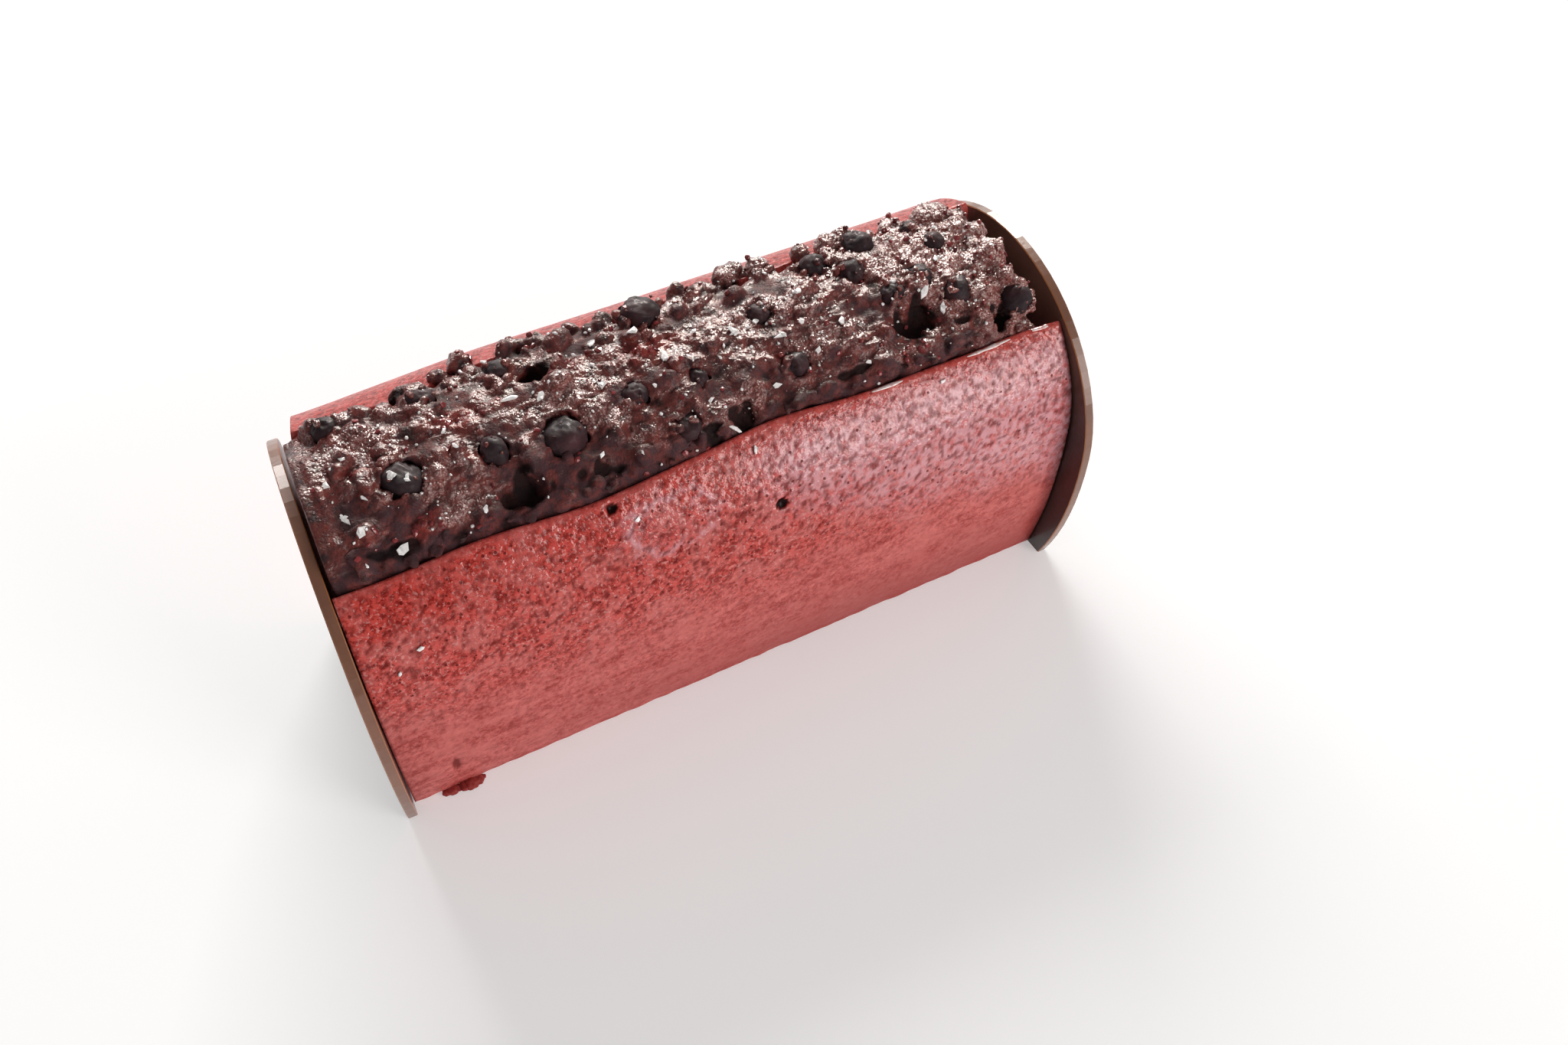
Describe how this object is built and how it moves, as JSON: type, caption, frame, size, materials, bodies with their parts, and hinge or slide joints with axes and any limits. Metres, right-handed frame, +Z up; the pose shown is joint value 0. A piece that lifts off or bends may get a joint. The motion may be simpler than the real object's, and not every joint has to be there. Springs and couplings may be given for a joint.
{
  "type": "yule log cake",
  "caption": "Yule log cake: a moulded mousse log with berry compote, whole berries and white flakes heaped in a trough along its top, and a thin chocolate plate at each end.",
  "frame": {"origin": "on the floor under the middle of the cake's box", "axes": "+X along the log towards the larger end plate, -Y to the front where the trough's lip is lower, +Z up"},
  "size_m": [0.1701, 0.08, 0.0866],
  "materials": {
    "mousse": "satin, finely pitted",
    "compote": "wet gloss",
    "berry": "wet gloss",
    "chocolate": "satin"
  },
  "bodies": {
    "root": {"mousse_log": "mousse", "berry_compote": "compote", "berry_01": "berry", "berry_02": "berry", "berry_03": "berry", "berry_04": "berry", "berry_05": "berry", "berry_06": "berry", "berry_07": "berry", "berry_08": "berry", "berry_09": "berry", "berry_10": "berry", "berry_11": "berry", "berry_12": "berry", "berry_13": "berry", "berry_14": "berry", "berry_15": "berry", "berry_16": "berry", "berry_17": "berry", "berry_18": "berry", "berry_19": "berry", "berry_20": "berry", "berry_21": "berry", "end_plate_left": "chocolate", "end_plate_right": "chocolate"}
  },
  "joints": []
}
